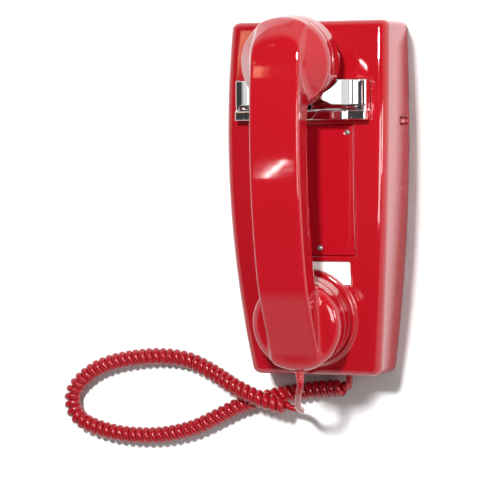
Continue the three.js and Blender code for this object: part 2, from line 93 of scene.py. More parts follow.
def newGroup(name, inputs, outputs):
    group = bpy.data.node_groups.new(name, "ShaderNodeTree")
    for socketName, value in inputs.items():
        socket = group.interface.new_socket(name=socketName, in_out="INPUT", socket_type="NodeSocketFloat")
        socket.default_value = value
    for socketName in outputs:
        group.interface.new_socket(name=socketName, in_out="OUTPUT", socket_type="NodeSocketFloat")
    return group


def addNode(tree, kind, values=None, **settings):
    node = tree.nodes.new(kind)
    for key, value in settings.items():
        setattr(node, key, value)
    for socket, value in (values or {}).items():
        node.inputs[socket].default_value = value
    return node


def remap(tree, source, low, high, fromLow=0.0, fromHigh=1.0):
    node = addNode(tree, "ShaderNodeMapRange", {1: fromLow, 2: fromHigh, 3: low, 4: high})
    tree.links.new(source, node.inputs[0])
    return node.outputs[0]


def combine(tree, operation, first, second):
    node = addNode(tree, "ShaderNodeMath", operation=operation)
    for socket, value in zip(node.inputs, (first, second)):
        if isinstance(value, (int, float)):
            socket.default_value = value
        else:
            tree.links.new(value, socket)
    return node.outputs[0]


def makeMouldedSkin():
    # faint ripple of a moulded surface, hair scratches in two directions, rub marks and slow tone
    group = newGroup(
        "mouldedSkin", {"Ripple Scale": 420.0, "Scratch Scale": 60.0, "Mark Scale": 22.0},
        ("Height", "Marks", "Tone"),
    )
    inputs, outputs = group.nodes.new("NodeGroupInput"), group.nodes.new("NodeGroupOutput")
    place = group.nodes.new("ShaderNodeTexCoord").outputs["Object"]
    link = group.links.new
    ripple = addNode(group, "ShaderNodeTexNoise", {"Detail": 2.0, "Roughness": 0.4})
    link(place, ripple.inputs["Vector"])
    link(inputs.outputs["Ripple Scale"], ripple.inputs["Scale"])
    scratches = []
    for angle, stretch in ((0.6, 34.0), (-0.9, 26.0)):
        turned = addNode(group, "ShaderNodeMapping", {
            "Rotation": (0.0, 0.25, angle), "Scale": (1.0, stretch, stretch),
        })
        link(place, turned.inputs["Vector"])
        line = addNode(group, "ShaderNodeTexNoise", {"Detail": 3.0, "Roughness": 0.6})
        link(turned.outputs[0], line.inputs["Vector"])
        link(inputs.outputs["Scratch Scale"], line.inputs["Scale"])
        scratches.append(remap(group, line.outputs[0], 0.0, 1.0, 0.66, 0.74))
    scratch = combine(group, "MAXIMUM", *scratches)
    marks = addNode(group, "ShaderNodeTexNoise", {"Detail": 4.0, "Roughness": 0.62, "Distortion": 0.6})
    link(place, marks.inputs["Vector"])
    link(inputs.outputs["Mark Scale"], marks.inputs["Scale"])
    worn = remap(group, marks.outputs[0], 0.0, 1.0, 0.42, 0.7)
    tone = addNode(group, "ShaderNodeTexNoise", {"Scale": 9.0, "Detail": 2.0})
    link(place, tone.inputs["Vector"])
    height = combine(group, "SUBTRACT", ripple.outputs[0], combine(group, "MULTIPLY", scratch, 0.35))
    link(height, outputs.inputs["Height"])
    link(combine(group, "MAXIMUM", worn, combine(group, "MULTIPLY", scratch, 0.6)), outputs.inputs["Marks"])
    link(remap(group, tone.outputs[0], 0.0, 1.0, 0.3, 0.7), outputs.inputs["Tone"])
    return group


def makeMetalSkin():
    # fine grain drawn out along X, soft stains and pin-prick pits
    group = newGroup(
        "metalSkin", {"Grain Scale": 30.0, "Stretch": 40.0, "Stain Scale": 26.0},
        ("Height", "Grain", "Stain"),
    )
    inputs, outputs = group.nodes.new("NodeGroupInput"), group.nodes.new("NodeGroupOutput")
    place = group.nodes.new("ShaderNodeTexCoord").outputs["Object"]
    link = group.links.new
    drawn = group.nodes.new("ShaderNodeCombineXYZ")
    drawn.inputs[0].default_value = 1.0
    link(inputs.outputs["Stretch"], drawn.inputs[1])
    link(inputs.outputs["Stretch"], drawn.inputs[2])
    turned = addNode(group, "ShaderNodeMapping")
    link(place, turned.inputs["Vector"])
    link(drawn.outputs[0], turned.inputs["Scale"])
    grain = addNode(group, "ShaderNodeTexNoise", {"Detail": 4.0, "Roughness": 0.65})
    link(turned.outputs[0], grain.inputs["Vector"])
    link(inputs.outputs["Grain Scale"], grain.inputs["Scale"])
    stain = addNode(group, "ShaderNodeTexNoise", {"Detail": 5.0, "Roughness": 0.6, "Distortion": 0.4})
    link(place, stain.inputs["Vector"])
    link(inputs.outputs["Stain Scale"], stain.inputs["Scale"])
    pits = addNode(group, "ShaderNodeTexVoronoi", {"Scale": 900.0})
    link(place, pits.inputs["Vector"])
    pit = remap(group, pits.outputs["Distance"], 1.0, 0.0, 0.0, 0.16)
    shallow = combine(group, "MULTIPLY", pit, 0.2)
    link(combine(group, "SUBTRACT", grain.outputs[0], shallow), outputs.inputs["Height"])
    link(grain.outputs[0], outputs.inputs["Grain"])
    link(remap(group, stain.outputs[0], 0.0, 1.0, 0.35, 0.7), outputs.inputs["Stain"])
    return group


mouldedSkin = makeMouldedSkin()
metalSkin = makeMetalSkin()


def finishOf(name, look, skin, skinValues, masks):
    # look: base and second colour, low and high roughness, bump depth in metres and plain shader values
    material = bpy.data.materials.new(name)
    material.use_nodes = True
    tree = material.node_tree
    shader = tree.nodes["Principled BSDF"]
    group = addNode(tree, "ShaderNodeGroup", node_tree=skin)
    for socket, value in skinValues.items():
        group.inputs[socket].default_value = value
    toneMask, roughMask = masks
    mixed = addNode(tree, "ShaderNodeMix", data_type="RGBA")
    mixed.inputs[6].default_value = (*look["colour"], 1.0)
    mixed.inputs[7].default_value = (*look["second"], 1.0)
    tree.links.new(group.outputs[toneMask], mixed.inputs[0])
    tree.links.new(mixed.outputs[2], shader.inputs["Base Color"])
    tree.links.new(remap(tree, group.outputs[roughMask], *look["roughness"]), shader.inputs["Roughness"])
    bump = addNode(tree, "ShaderNodeBump", {"Strength": 0.3, "Distance": look["bump"]})
    tree.links.new(group.outputs["Height"], bump.inputs["Height"])
    tree.links.new(bump.outputs[0], shader.inputs["Normal"])
    for socket, value in look.get("plain", {}).items():
        shader.inputs[socket].default_value = value
    return material


mouldedLooks = {
    "red_plastic": {
        "colour": (0.38, 0.0050, 0.0125), "second": (0.34, 0.0040, 0.0100),
        "roughness": (0.05, 0.13), "bump": 0.00002,
        "plain": {"IOR": 1.5, "Coat Weight": 0.6, "Coat Roughness": 0.03},
    },
    "red_cord": {
        "colour": (0.32, 0.0045, 0.011), "second": (0.27, 0.0035, 0.009),
        "roughness": (0.12, 0.28), "bump": 0.00004,
        "plain": {"IOR": 1.5},
    },
    "black_plastic": {
        "colour": (0.012, 0.012, 0.013), "second": (0.02, 0.019, 0.018),
        "roughness": (0.35, 0.55), "bump": 0.00004,
    },
    "ivory_plastic": {
        "colour": (0.66, 0.60, 0.46), "second": (0.60, 0.52, 0.37),
        "roughness": (0.3, 0.5), "bump": 0.00004,
    },
    "circuit_board": {
        "colour": (0.23, 0.12, 0.03), "second": (0.15, 0.07, 0.018),
        "roughness": (0.35, 0.6), "bump": 0.00005,
    },
    "card_stock": {
        "colour": (0.94, 0.935, 0.92), "second": (0.90, 0.89, 0.86),
        "roughness": (0.7, 0.9), "bump": 0.00006,
    },
    "clear_plastic": {
        "colour": (0.96, 0.98, 0.98), "second": (0.90, 0.93, 0.93),
        "roughness": (0.03, 0.14), "bump": 0.00002,
        "plain": {"IOR": 1.49, "Alpha": 0.07},
    },
}
metalLooks = {
    "chrome": {
        "colour": (0.86, 0.86, 0.87), "second": (0.78, 0.77, 0.76),
        "roughness": (0.03, 0.12), "bump": 0.000012,
        "plain": {"Metallic": 1.0},
    },
    "steel": {
        "colour": (0.46, 0.46, 0.45), "second": (0.34, 0.33, 0.31),
        "roughness": (0.28, 0.5), "bump": 0.00004,
        "plain": {"Metallic": 1.0},
    },
    "gong_brass": {
        "colour": (0.64, 0.45, 0.17), "second": (0.42, 0.27, 0.10),
        "roughness": (0.18, 0.42), "bump": 0.00003,
        "plain": {"Metallic": 1.0},
    },
}
skinScales = {
    "red_cord": {"Ripple Scale": 900.0, "Scratch Scale": 120.0, "Mark Scale": 60.0},
    "card_stock": {"Ripple Scale": 2600.0, "Scratch Scale": 500.0, "Mark Scale": 90.0},
    "chrome": {"Grain Scale": 60.0, "Stretch": 8.0, "Stain Scale": 40.0},
}
finishes = {}
for slotName, look in mouldedLooks.items():
    scales = skinScales.get(slotName, {})
    finishes[slotName] = finishOf(slotName, look, mouldedSkin, scales, ("Tone", "Marks"))
for slotName, look in metalLooks.items():
    scales = skinScales.get(slotName, {})
    finishes[slotName] = finishOf(slotName, look, metalSkin, scales, ("Stain", "Grain"))
print("finishes made:", len(finishes))

# mesh helpers


def meshFrom(name, points, quads, triangles=()):
    quads = np.asarray(quads, np.int32).reshape(-1, 4)
    triangles = np.asarray(triangles, np.int32).reshape(-1, 3)
    starts = np.concatenate((np.arange(len(quads)) * 4, quads.size + np.arange(len(triangles)) * 3))
    mesh = bpy.data.meshes.new(name)
    mesh.vertices.add(len(points))
    mesh.vertices.foreach_set("co", (np.asarray(points) / 1000).astype(np.float32).ravel())
    mesh.loops.add(quads.size + triangles.size)
    mesh.loops.foreach_set("vertex_index", np.concatenate((quads.ravel(), triangles.ravel())))
    mesh.polygons.add(len(starts))
    mesh.polygons.foreach_set("loop_start", starts.astype(np.int32))
    mesh.polygons.foreach_set("use_smooth", np.ones(len(starts), bool))
    mesh.update()
    mesh.validate()
    return mesh


def addPiece(name, mesh, slotName, nodes=(), body=None):
    piece = bpy.data.objects.new(name, mesh)
    scene.collection.objects.link(piece)
    mesh.materials.append(finishes[slotName])
    if nodes:
        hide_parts(*nodes)
    if body:
        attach(piece, body)
    return piece


def gridFaces(rows, columns, wrap=True):
    # quads between neighbouring rows of a grid, the columns closing on themselves when wrapped
    row = np.arange(rows - 1)[:, None]
    column = np.arange(columns if wrap else columns - 1)[None, :]
    following = (column + 1) % columns
    corners = (row * columns + column, row * columns + following,
               (row + 1) * columns + following, (row + 1) * columns + column)
    return np.stack(corners, -1).reshape(-1, 4)


def closedEnds(rows, columns, count):
    # fans that close the first and last row of a wrapped grid at two added points
    column = np.arange(columns)
    following = (column + 1) % columns
    last = (rows - 1) * columns
    first = np.stack((following, column, np.full(columns, count)), 1)
    second = np.stack((last + column, last + following, np.full(columns, count + 1)), 1)
    return np.concatenate((first, second))


def turnedMesh(name, profile, sides, place):
    # a profile of (radius, height) rows turned about the third axis: x = r cos a, y = r sin a, z = h;
    # place moves the points to where they belong
    profile = np.asarray(profile, float)
    angle = np.arange(sides) / sides * 2 * math.pi
    radius, height = profile[:, :1], profile[:, 1:]
    points = np.stack((radius * np.cos(angle), radius * np.sin(angle), height + 0 * angle), -1)
    ends = np.array([[0, 0, profile[0, 1]], [0, 0, profile[-1, 1]]])
    points = place(np.concatenate((points.reshape(-1, 3), ends)))
    rows = len(profile)
    return meshFrom(name, points, gridFaces(rows, sides), closedEnds(rows, sides, rows * sides))


def roundedCorners(outline, radius, steps=5):
    # an open outline whose inner corners become arcs, drawn as quadratic curves of that reach
    outline = np.asarray(outline, float)
    before, corner, after = outline[:-2], outline[1:-1], outline[2:]
    back, ahead = before - corner, after - corner
    backLength = np.linalg.norm(back, axis=1, keepdims=True)
    aheadLength = np.linalg.norm(ahead, axis=1, keepdims=True)
    reach = np.minimum(radius, np.minimum(backLength, aheadLength) * 0.48)
    start, end = corner + back / backLength * reach, corner + ahead / aheadLength * reach
    t = np.linspace(0, 1, steps)[None, :, None]
    arcs = (1 - t) ** 2 * start[:, None] + 2 * t * (1 - t) * corner[:, None] + t ** 2 * end[:, None]
    return np.concatenate((outline[:1], arcs.reshape(-1, 2), outline[-1:]))


# solids from distances: every function gives a signed distance, negative inside


def roundedCommon(first, second, radius):
    # inside both, the edge where they meet rounded
    outside = np.hypot(np.maximum(first + radius, 0), np.maximum(second + radius, 0))
    return np.minimum(np.maximum(first, second), -radius) + outside


def roundedJoin(first, second, radius):
    # inside either, with a fillet in the corner between them
    return -roundedCommon(-first, -second, radius)


def roundedCut(first, second, radius):
    return roundedCommon(first, -second, radius)


def plateDistance(u, v, halfU, halfV, radius):
    # a rectangle with round corners
    overU, overV = np.abs(u) - halfU + radius, np.abs(v) - halfV + radius
    outside = np.hypot(np.maximum(overU, 0), np.maximum(overV, 0))
    return outside + np.minimum(np.maximum(overU, overV), 0) - radius


def between(value, low, high):
    return np.abs(value - (low + high) / 2) - (high - low) / 2


def outlineDistance(u, v, outline):
    # nearest edge of a closed plane outline, negative where a ray crosses it an odd number of times
    nearest, inside = np.inf, False
    for (u0, v0), (u1, v1) in zip(outline, np.roll(outline, -1, axis=0)):
        du, dv = u1 - u0, v1 - v0
        t = np.clip(((u - u0) * du + (v - v0) * dv) / (du * du + dv * dv), 0, 1)
        nearest = np.minimum(nearest, (u - u0 - t * du) ** 2 + (v - v0 - t * dv) ** 2)
        crossing = ((v0 > v) != (v1 > v)) & (u < u0 + du * (v - v0) / (dv if dv else 1e-9))
        inside = inside ^ crossing
    return np.where(inside, -1, 1) * np.sqrt(nearest)


def skinMesh(name, distance, low, high, step, place=None):
    # The surface where a distance is zero: one point in every grid cell it crosses, at the mean of the
    # crossings on the cell's edges, then moved along the slope onto the surface; one quad for every
    # grid edge it crosses.
    axes = [np.arange(a, b + step, step) for a, b in zip(low, high)]
    grid = np.meshgrid(*axes, indexing="ij", sparse=True)
    value = np.broadcast_to(distance(*grid), [len(a) for a in axes]).astype(np.float32)
    inside = value < 0
    cells = tuple(n - 1 for n in value.shape)
    total, count = np.zeros(cells + (3,), np.float32), np.zeros(cells, np.float32)
    crossings = []
    for axis in range(3):
        ahead = [slice(None)] * 3
        behind = [slice(None)] * 3
        behind[axis], ahead[axis] = slice(None, -1), slice(1, None)
        first, second = value[tuple(behind)], value[tuple(ahead)]
        crossed = inside[tuple(behind)] != inside[tuple(ahead)]
        share = np.where(crossed, first / np.where(crossed, first - second, 1), 0)
        crossings.append(crossed)
        j, k = [other for other in range(3) if other != axis]
        for p in (0, 1):
            for q in (0, 1):
                window = [slice(None)] * 3
                window[j], window[k] = slice(p, p + cells[j]), slice(q, q + cells[k])
                part = crossed[tuple(window)]
                count += part
                total[..., axis] += share[tuple(window)]
                total[..., j] += p * part
                total[..., k] += q * part
    active = count > 0
    index = np.full(cells, -1, np.int32)
    index[active] = np.arange(active.sum())
    points = np.argwhere(active) + total[active] / count[active][:, None]
    points = points * step + np.array([a[0] for a in axes])
    quads = []
    for axis, crossed in enumerate(crossings):
        j, k = [other for other in range(3) if other != axis]
        inner = [slice(None)] * 3
        inner[j] = inner[k] = slice(1, -1)
        at = np.argwhere(crossed[tuple(inner)])
        at[:, [j, k]] += 1
        corners = []
        for dj, dk in ((1, 1), (0, 1), (0, 0), (1, 0)):
            cell = at.copy()
            cell[:, j] -= dj
            cell[:, k] -= dk
            corners.append(index[tuple(cell.T)])
        quad = np.stack(corners, 1)
        turned = inside[tuple(at.T)] == (axis == 1)
        quad[turned] = quad[turned][:, ::-1]
        quads.append(quad)
    reach = step * 0.02
    for _ in range(4):
        here = distance(*points.T)
        slope = np.stack([
            distance(*(points + offset).T) - distance(*(points - offset).T) for offset in np.eye(3) * reach
        ], 1) / (2 * reach)
        move = -here[:, None] * slope / np.maximum((slope ** 2).sum(1, keepdims=True), 0.2)
        length = np.linalg.norm(move, axis=1, keepdims=True)
        points = points + move * np.minimum(1, 0.4 * step / np.maximum(length, 1e-9))
    if place:
        points = place(points)
    return meshFrom(name, points, np.concatenate(quads))


# the phone's own shapes, shared by several pieces

gap = 0.3
casing = {
    "halfHeight": 108, "halfWidth": 51.5, "widestY": 50, "taper": 10.5, "draft": 1, "depth": 45,
    "deepestY": 20, "bow": 15, "wall": 2.5, "edge": 6, "endEdge": 4, "lip": 0.5, "step": 1.0,
    "padRadius": 29.8, "padEdge": 1.2, "screws": ((38, 94), (34, -96)), "bossRadius": 4,
}
blank = {"halfWidth": 31, "low": -34, "high": 45, "sunk": 1.2, "thickness": 2, "step": 0.7}
blankScrews = ((-27, 40.5), (27, 40.5), (-8.5, -29.5), (8.5, -29.5))
cardPocket = {"halfWidth": 27.3, "halfHeight": 7.3, "middleY": -45, "floor": 2.2}
jack = {"x": 16, "z": 12}
wheel = {
    "x": 45.3, "y": 47, "z": 10, "radius": 7.5, "thickness": 3, "ribs": 24, "ribDepth": 0.45, "bore": 1.8,
}
handset = {
    "y": 5.65, "z": 49.5, "spacing": 157, "drop": 17, "collarRadius": 28, "capHeight": 12.5,
    "collarTop": 22, "neckRadius": 24.9, "boreRadius": 22, "gripWidth": 31, "gripDepth": 17,
    "height": 47.8, "bow": 9, "halfLength": 105.5, "endRound": 14, "creaseY": -55, "facetEndZ": 25.2,
    "edge": 1.8, "fillet": 3, "step": 0.9,
}
tilt = math.atan(handset["drop"] / handset["spacing"])
earY = handset["spacing"] / 2


def halfWidthAt(y):
    return casing["halfWidth"] - casing["taper"] * ((y - casing["widestY"]) / 158) ** 2


def depthAt(y):
    return casing["depth"] - casing["bow"] * ((y - casing["deepestY"]) / 128) ** 2


def inHandset(points):
    # from the handset's own frame, whose caps face down its third axis, to the phone's
    x, y, z = np.asarray(points, float).T
    return np.stack((
        x, handset["y"] + y * math.cos(tilt) - z * math.sin(tilt),
        handset["z"] + y * math.sin(tilt) + z * math.cos(tilt),
    ), 1)


def fromHandset(y, z):
    y, z = y - handset["y"], z - handset["z"]
    return y * math.cos(tilt) + z * math.sin(tilt), z * math.cos(tilt) - y * math.sin(tilt)


earPlace, mouthPlace = inHandset([(0, earY, 0), (0, -earY, 0)])

# cord: a straight lead out of the casing, the curly part in a loop, and a lead up to the handset

cord = {
    "wire": 4.1, "curlyWire": 4.8, "coilRadius": 2.97, "pitch": 4.65, "settle": 6,
    "sides": 12, "spacing": 0.9,
    "baseLead": [
        (16, -107.4, 12), (16, -110, 12), (15.6, -114, 10.6), (13.8, -117, 7.8), (11.4, -117.9, 6.2),
    ],
    "coil": [
        (8.7, -118.1, 5.8), (0, -118.6, 5.6), (-19, -121, 5.6), (-46, -127, 5.6), (-61, -132, 5.6),
        (-71, -137, 5.6), (-93, -147, 5.6), (-121, -152, 5.6), (-154, -149, 5.6), (-172, -140, 5.6),
        (-174, -126, 5.6), (-157, -110, 5.6), (-121, -101.5, 5.6), (-94, -103, 5.6), (-75, -110.5, 8.5),
        (-59, -118, 14.2), (-43, -124.4, 16.6), (-31, -128.3, 15.6), (-22, -130.5, 13),
    ],
    "handsetLead": [
        (-17.6, -131.6, 12.4), (-13.6, -131.4, 17), (-11, -129, 29), (-6.6, -122.5, 43), (-2, -115.8, 53.2),
        (0, -112, 55.9), (0, -109.2, 56.2),
    ],
}


def lengthsAlong(line):
    return np.concatenate(([0], np.cumsum(np.linalg.norm(np.diff(line, axis=0), axis=1))))


def resampled(line, spacing):
    travelled = lengthsAlong(line)
    count = max(2, int(round(travelled[-1] / spacing)) + 1)
    at = np.linspace(0, travelled[-1], count)
    return np.stack([np.interp(at, travelled, line[:, k]) for k in range(3)], 1)


def smoothLine(points, perSpan=24):
    # Catmull-Rom curve with centripetal knots through the points
    points = np.asarray(points, float)
    ends = np.concatenate(([2 * points[0] - points[1]], points, [2 * points[-1] - points[-2]]))
    knots = np.concatenate(([0], np.cumsum(np.linalg.norm(np.diff(ends, axis=0), axis=1) ** 0.5)))
    pieces = []
    for i in range(1, len(ends) - 2):
        t = np.linspace(knots[i], knots[i + 1], perSpan, endpoint=False)[:, None]
        t0, t1, t2, t3 = knots[i - 1:i + 3]
        a1 = ((t1 - t) * ends[i - 1] + (t - t0) * ends[i]) / (t1 - t0)
        a2 = ((t2 - t) * ends[i] + (t - t1) * ends[i + 1]) / (t2 - t1)
        a3 = ((t3 - t) * ends[i + 1] + (t - t2) * ends[i + 2]) / (t3 - t2)
        b1 = ((t2 - t) * a1 + (t - t0) * a2) / (t2 - t0)
        b2 = ((t3 - t) * a2 + (t - t1) * a3) / (t3 - t1)
        pieces.append(((t2 - t) * b1 + (t - t1) * b2) / (t2 - t1))
    return np.concatenate(pieces + [points[-1:]])


def carriedFrames(line):
    # two directions across the line at each station, carried along it without twist
    tangent = np.gradient(line, axis=0)
    tangent /= np.linalg.norm(tangent, axis=1, keepdims=True)
    side = np.cross(tangent[0], (0.31, 0.2, 0.93))
    sides = []
    for direction in tangent:
        side = side - direction * side.dot(direction)
        side = side / np.linalg.norm(side)
        sides.append(side)
    sides = np.array(sides)
    return tangent, sides, np.cross(tangent, sides)


def easeIn(value):
    value = np.clip(value, 0, 1)
    return value * value * (3 - 2 * value)


def makeCord():
    # The wire winds round the route: route + R e(s) (cos p side + sin p up), where the ease e rises
    # from 0 to 1 at each end of the curly part and the phase p gains one turn every pitch.
    route = resampled(smoothLine(cord["baseLead"] + cord["coil"] + cord["handsetLead"]), 0.12)
    travelled = lengthsAlong(route)
    curlyEnds = [
        travelled[np.linalg.norm(route - np.array(end), axis=1).argmin()]
        for end in (cord["baseLead"][3], cord["coil"][-1])
    ]
    ease = easeIn((travelled - curlyEnds[0]) / cord["settle"])
    ease = ease * easeIn((curlyEnds[1] - travelled) / cord["settle"])
    phase = np.concatenate(([0], np.cumsum(np.diff(travelled) * ease[1:]))) * 2 * math.pi / cord["pitch"]
    _, side, up = carriedFrames(route)
    offset = side * np.cos(phase)[:, None] + up * np.sin(phase)[:, None]
    wound = route + offset * (cord["coilRadius"] * ease)[:, None]
    wire = resampled(wound, cord["spacing"])
    woundAt = lengthsAlong(wound)
    easeAt = np.interp(np.linspace(0, woundAt[-1], len(wire)), woundAt, ease)
    radius = (cord["wire"] + (cord["curlyWire"] - cord["wire"]) * easeAt) / 2
    _, side, up = carriedFrames(wire)
    angle = np.arange(cord["sides"]) / cord["sides"] * 2 * math.pi
    ring = side[:, None] * np.cos(angle)[:, None] + up[:, None] * np.sin(angle)[:, None]
    points = (wire[:, None] + ring * radius[:, None, None]).reshape(-1, 3)
    points = np.concatenate((points, wire[[0, -1]]))
    rows, sides = len(wire), cord["sides"]
    mesh = meshFrom("curlyCord", points, gridFaces(rows, sides), closedEnds(rows, sides, rows * sides))
    nodes = ("cord_base_lead", "cord_coil", "cord_handset_lead")
    return addPiece("curlyCord", mesh, "red_cord", nodes), wire


relief = {"radius": 3.2, "tip": 2.45, "taper": 9, "length": 20, "groove": 0.35, "pitch": 1.9, "z": 19}


def makeStrainRelief():
    # radius along the sleeve: a taper to the tip with rounded grooves worn into it by a cosine
    along = np.linspace(0, relief["length"], 121)
    radius = relief["tip"] + (relief["radius"] - relief["tip"]) * easeIn(along / relief["taper"])
    ribbed = easeIn((along - 1) / 1.5) * easeIn((10.5 - along) / 1.5)
    wave = 0.5 + 0.5 * np.cos(along * 2 * math.pi / relief["pitch"])
    radius = radius - relief["groove"] * ribbed * wave ** 2
    profile = np.stack((radius, along), 1)
    profile = np.concatenate(([(relief["tip"] - 0.45, 0)], [(relief["tip"] - 0.12, 0.08)], profile[3:]))

    def place(points):
        x, y, z = points.T
        return inHandset(np.stack((x, z - handset["halfLength"] - 8.5, relief["z"] - y), 1))

    mesh = turnedMesh("handsetStrainRelief", profile, 32, place)
    return addPiece("handsetStrainRelief", mesh, "red_plastic", ("handset_strain_relief",), "handset")


curlyCord, wireLine = makeCord()
strainRelief = makeStrainRelief()
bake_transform(curlyCord)

# casing


def casingSkin(x, y, z, inset):
    depth = depthAt(y)
    side = np.abs(x) - halfWidthAt(y) - casing["draft"] * (1 - z / depth) + inset
    front = z - depth + inset
    end = np.abs(y) - casing["halfHeight"] + inset
    body = roundedCommon(side, front, casing["edge"] - inset)
    return roundedCommon(body, end, casing["endEdge"] - inset / 2)


def cardFrame(y, z):
    middle = cardPocket["middleY"]
    lean = math.atan((depthAt(middle + 1) - depthAt(middle - 1)) / 2)
    y, z = y - middle, z - depthAt(middle)
    return y * math.cos(lean) + z * math.sin(lean), z * math.cos(lean) - y * math.sin(lean)


def casingDistance(x, y, z):
    c = casing
    padY, padZ = fromHandset(y, z)
    padRing = np.hypot(x, padY + earY) - c["padRadius"]
    pad = roundedCommon(roundedCommon(padRing, padZ + 0.7, c["padEdge"]), -9 - padZ, 0.5)
    outer = roundedJoin(casingSkin(x, y, z, 0), pad, 2.2)
    shell = np.maximum(outer, -casingSkin(x, y, z, c["wall"]))
    blankMiddle, blankHalf = (blank["high"] + blank["low"]) / 2, (blank["high"] - blank["low"]) / 2
    depth = depthAt(y)
    seat = np.maximum(
        plateDistance(x, y - blankMiddle + 0.8, blank["halfWidth"] + 4, blankHalf + 3.2, 2),
        between(z - depth, -7, -1),
    )
    cardY, cardZ = cardFrame(y, z)
    cardSeat = np.maximum(plateDistance(x, cardY, 29, 9, 1), between(cardZ, -4.5, -1))
    body = np.minimum(np.minimum(shell, seat), np.maximum(cardSeat, casingSkin(x, y, z, 0.5)))
    for screwX, screwY in c["screws"]:
        ring = np.hypot(np.abs(x) - screwX, y - screwY)
        body = np.minimum(body, np.maximum(ring - c["bossRadius"], between(z, 1.8, depthAt(screwY) - 1)))
        body = np.maximum(body, -np.maximum(ring - 1.7, z - 14))
    pocket = np.maximum(
        plateDistance(x, y - blankMiddle, blank["halfWidth"] + gap, blankHalf + gap, 1.4),
        depth - blank["sunk"] - blank["thickness"] - gap - z,
    )
    body = roundedCut(body, pocket, 0.3)
    saddleHole = np.maximum(plateDistance(x, y - 60, 41.8, 12.3, 1.2), 30 - z)
    body = roundedCut(body, saddleHole, c["lip"])
    cardHole = np.maximum(
        np.maximum(plateDistance(x, cardY, cardPocket["halfWidth"], cardPocket["halfHeight"], 0.8),
                   -cardPocket["floor"] - cardZ),
        c["padRadius"] + 0.2 - np.hypot(x, y - mouthPlace[1]),
    )
    body = roundedCut(body, cardHole, 0.35)
    for screwX, screwY in blankScrews:
        body = np.maximum(body, -np.maximum(np.hypot(x - screwX, y - screwY) - 1.5, 30 - z))
    jackHole = np.maximum(plateDistance(x - jack["x"], z - jack["z"], 5, 4.5, 1), y + 100)
    body = roundedCut(body, jackHole, 0.5)
    wheelSlot = np.maximum(plateDistance(y - wheel["y"], z - wheel["z"], 2, 7.6, 0.9), 44 - x)
    body = roundedCut(body, wheelSlot, 0.5)
    return roundedCommon(body, -z, 0.4)


def makeCasing():
    low, high = (np.array(corner) * 1000 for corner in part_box("casing"))
    mesh = skinMesh("casingShell", casingDistance, low - 2.03, high + 2.03, casing["step"])
    return addPiece("casingShell", mesh, "red_plastic", ("casing",), "phone_body")


def blankDistance(x, y, z):
    middle, half = (blank["high"] + blank["low"]) / 2, (blank["high"] - blank["low"]) / 2
    top = z - depthAt(y) + blank["sunk"]
    plate = roundedCommon(
        plateDistance(x, y - middle, blank["halfWidth"], half, 1.2),
        between(top, -blank["thickness"], 0), 0.35,
    )
    for screwX, screwY in blankScrews:
        plate = roundedCut(plate, np.hypot(x - screwX, y - screwY) - 1.5, 0.3)
    return plate


def makeBlankPlate():
    low, high = (np.array(corner) * 1000 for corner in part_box("blank_plate"))
    mesh = skinMesh("blankPlate", blankDistance, low - 1.51, high + 1.51, blank["step"])
    return addPiece("blankPlate", mesh, "red_plastic", ("blank_plate",), "phone_body")


screw = {"radius": 1.7, "dome": 1.0, "slotWidth": 0.45, "slotDepth": 0.5, "shank": 1.2, "step": 0.14}


def screwDistance(x, y, z):
    # domed head with a straight slot, on a plain shank
    dome = np.sqrt(x * x + y * y + (z + 1.3) ** 2) - 2.3
    head = roundedCommon(np.hypot(x, y) - screw["radius"], dome, 0.2)
    head = roundedCommon(head, -z, 0.1)
    slot = np.maximum(np.abs(x) - screw["slotWidth"] / 2, screw["dome"] - screw["slotDepth"] - z)
    shank = np.maximum(np.hypot(x, y) - screw["shank"], between(z, -7, 0.3))
    return np.minimum(roundedCut(head, slot, 0.08), shank)


def makeBlankScrews():
    for number, (x, y) in enumerate(blankScrews):
        turn = 0.5 + 1.3 * number
        seat = depthAt(y) - blank["sunk"] + 0.25

        def place(points):
            turned = points @ np.array(Matrix.Rotation(turn, 3, "Z")).T
            return turned + (x, y, seat)

        low, high = (-2.7, -2.7, -7.3), (2.7, 2.7, 1.6)
        mesh = skinMesh("blankScrew%d" % (number + 1), screwDistance, low, high, screw["step"], place)
        addPiece(mesh.name, mesh, "steel", ("blank_plate_screw_%d" % (number + 1),), "phone_body")


makeCasing()
makeBlankPlate()
makeBlankScrews()
print("casing made")

# chrome saddle

saddle = {
    "halfWidth": 41.5, "low": 48, "high": 72, "backZ": 40, "faceZ": 46.5, "shelfTop": 53.8, "shelfZ": 60,
    "cheekY": 57, "cheekInner": 21, "cheekZ": 76, "flangeZ": 52, "edge": 0.8, "fillet": 0.9, "step": 0.6,
}


def cheekOutline():
    # back, up the flange, and the concave sweep up to the cheek's inner lip
    s = saddle
    t = np.linspace(0, 1, 24)[:, None]
    start, middle, end = np.array([
        (s["halfWidth"] - 2.5, s["flangeZ"]), (27, s["flangeZ"] + 2), (s["cheekInner"] + 2, s["cheekZ"]),
    ])
    sweep = (1 - t) ** 2 * start + 2 * t * (1 - t) * middle + t ** 2 * end
    return np.concatenate((
        [(s["cheekInner"], s["backZ"]), (s["halfWidth"], s["backZ"]), (s["halfWidth"], s["flangeZ"])],
        sweep, [(s["cheekInner"], s["cheekZ"])],
    ))


cheekSweep = cheekOutline()


